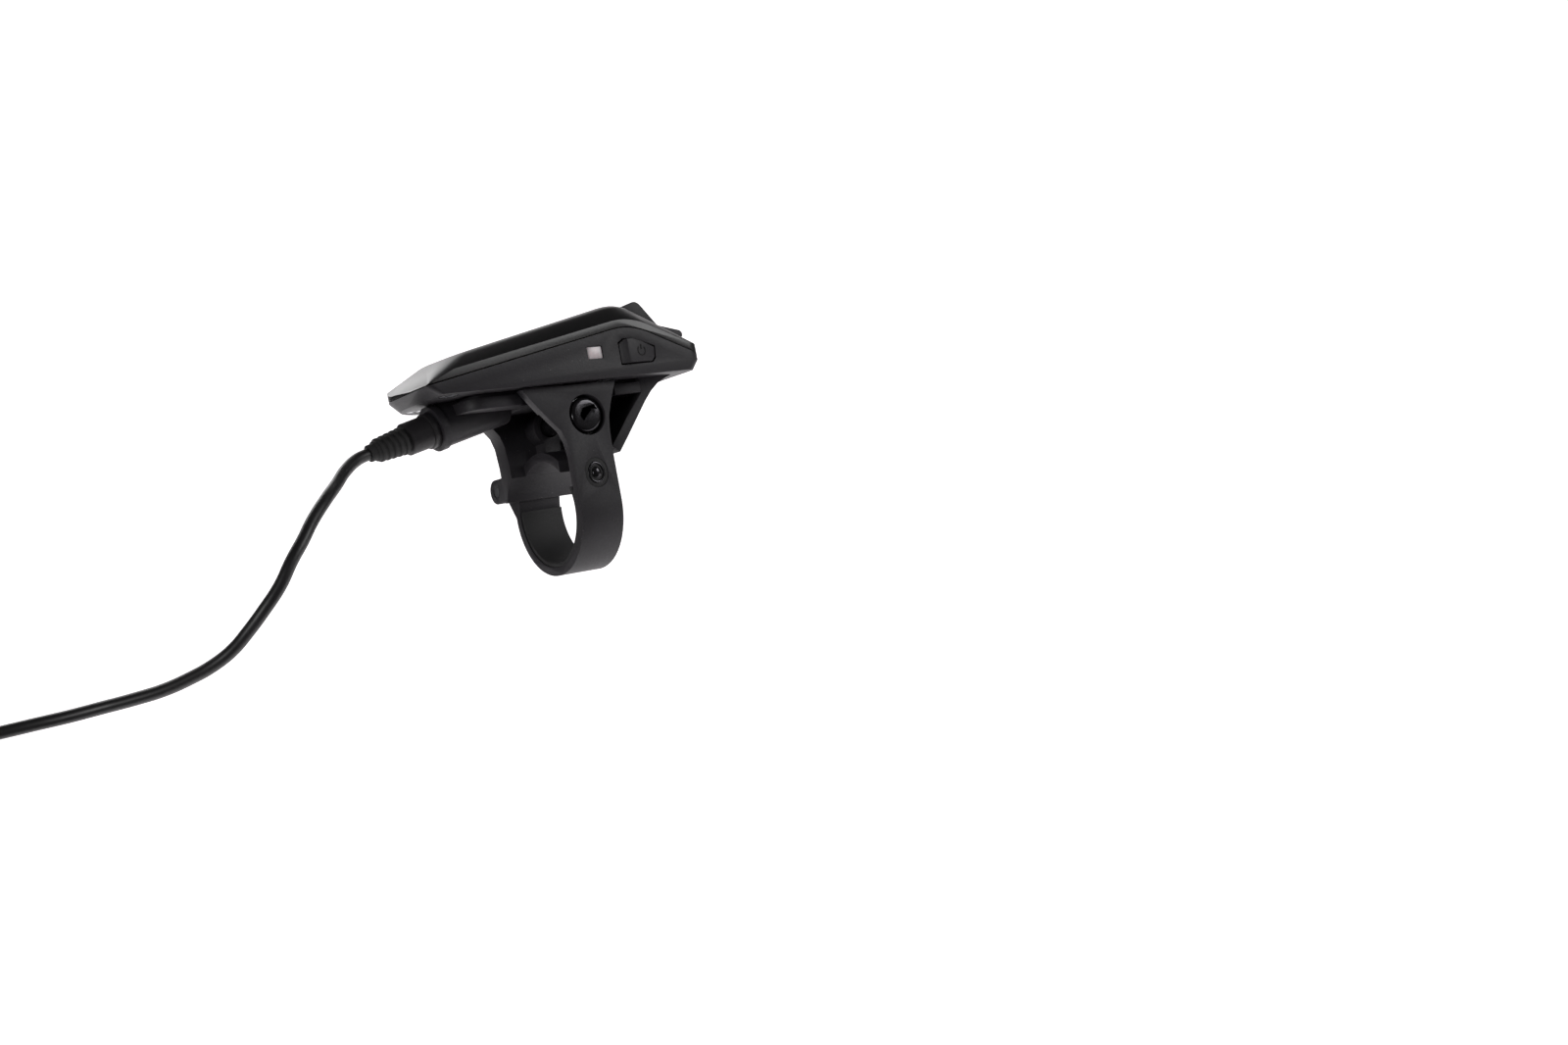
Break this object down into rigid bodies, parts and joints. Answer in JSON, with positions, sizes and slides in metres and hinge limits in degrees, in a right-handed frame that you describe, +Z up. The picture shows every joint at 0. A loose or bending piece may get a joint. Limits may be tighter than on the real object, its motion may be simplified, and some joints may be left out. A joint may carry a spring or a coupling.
{
  "type": "cycling computer",
  "caption": "Wedge-shaped handlebar cycling computer with sloping display, thumb keys, power button, underside port with lead, and a bolted clamp strap for a 22.2 mm bar.",
  "frame": {"origin": "middle of the clamp's bore, on the handlebar's axis", "axes": "+X along the bar towards the grip, +Y towards the rider, +Z up through the display"},
  "size_m": [0.1898, 0.0501, 0.1165],
  "materials": {
    "case_plastic": "fine textured charcoal moulding",
    "cover_plastic": "satin black moulding",
    "bracket_plastic": "glass-filled nylon, fine texture",
    "rubber": "matt moulded rubber",
    "steel": "plated steel",
    "black_steel": "black oxide steel, oiled",
    "window_glass": "polished tinted cover glass",
    "lcd": "reflective liquid crystal panel",
    "light_guide": "white diffuser",
    "board": "green solder mask",
    "chip": "moulded black resin",
    "light_window": "translucent pale pink polycarbonate",
    "gold": "gold-plated contacts",
    "plug_plastic": "black moulded nylon",
    "lead_jacket": "satin black jacket"
  },
  "bodies": {
    "computer": {"lower_case": "case_plastic", "top_cover": "cover_plastic", "case_seal": "rubber", "case_screws": "steel", "display_window": "window_glass", "window_gasket": "rubber", "lcd_panel": "lcd", "backlight": "light_guide", "main_board": "board", "board_chips": "chip", "backup_cell": "steel", "key_board": "board", "key_switches": "steel", "key_seal": "rubber", "power_seal": "rubber", "side_board": "board", "power_switch": "steel", "status_led": "light_guide", "light_window": "light_window", "port_socket": "chip", "port_pins": "gold", "bracket": "bracket_plastic", "mount_plate": "bracket_plastic", "bracket_screws": "black_steel", "hinge_pin": "steel", "clamp_nut": "steel", "plug_body": "plug_plastic", "plug_boot": "lead_jacket", "lead_tube": "lead_jacket", "lead_coil": "lead_jacket", "lead_tail": "lead_jacket", "coil_tie": "lead_jacket", "lead_connector": "plug_plastic", "connector_boot": "lead_jacket"},
    "up_key": {"up_key": "case_plastic"},
    "down_key": {"down_key": "case_plastic"},
    "power_button": {"power_button": "case_plastic"},
    "strap": {"clamp_strap": "bracket_plastic", "clamp_liner": "rubber"},
    "washer": {"bolt_washer": "steel"},
    "bolt": {"clamp_bolt": "black_steel"}
  },
  "joints": [
    {"name": "up_key_press", "type": "slide", "parent": "computer", "child": "up_key", "axis": [-0.515, 0, -0.8572], "range_m": [0, 0.0008], "stiffness_N_per_m": 1500, "springref_m": -0.0004},
    {"name": "down_key_press", "type": "slide", "parent": "computer", "child": "down_key", "axis": [-0.515, 0, -0.8572], "range_m": [0, 0.0008], "stiffness_N_per_m": 1500, "springref_m": -0.0004},
    {"name": "power_press", "type": "slide", "parent": "computer", "child": "power_button", "axis": [0, 1, 0], "range_m": [0, 0.0006], "stiffness_N_per_m": 2500, "springref_m": -0.0003},
    {"name": "washer_travel", "type": "slide", "parent": "computer", "child": "washer", "axis": [0, -1, 0], "range_m": [0, 0.0014]},
    {"name": "bolt_turn", "type": "hinge", "parent": "washer", "child": "bolt", "pos_m": [0.0009, -0.0125, 0.0187], "axis": [0, 1, 0], "range_deg": [0, 720]},
    {"name": "strap_hinge", "type": "hinge", "parent": "computer", "child": "strap", "pos_m": [0, 0.0144, 0.007], "axis": [1, 0, 0], "range_deg": [0, 1]}
  ],
  "couplings": [
    {"joint": "bolt_turn", "follows": "washer_travel", "rad_per_m": 8975.9},
    {"joint": "strap_hinge", "follows": "washer_travel", "rad_per_m": 12.46}
  ]
}
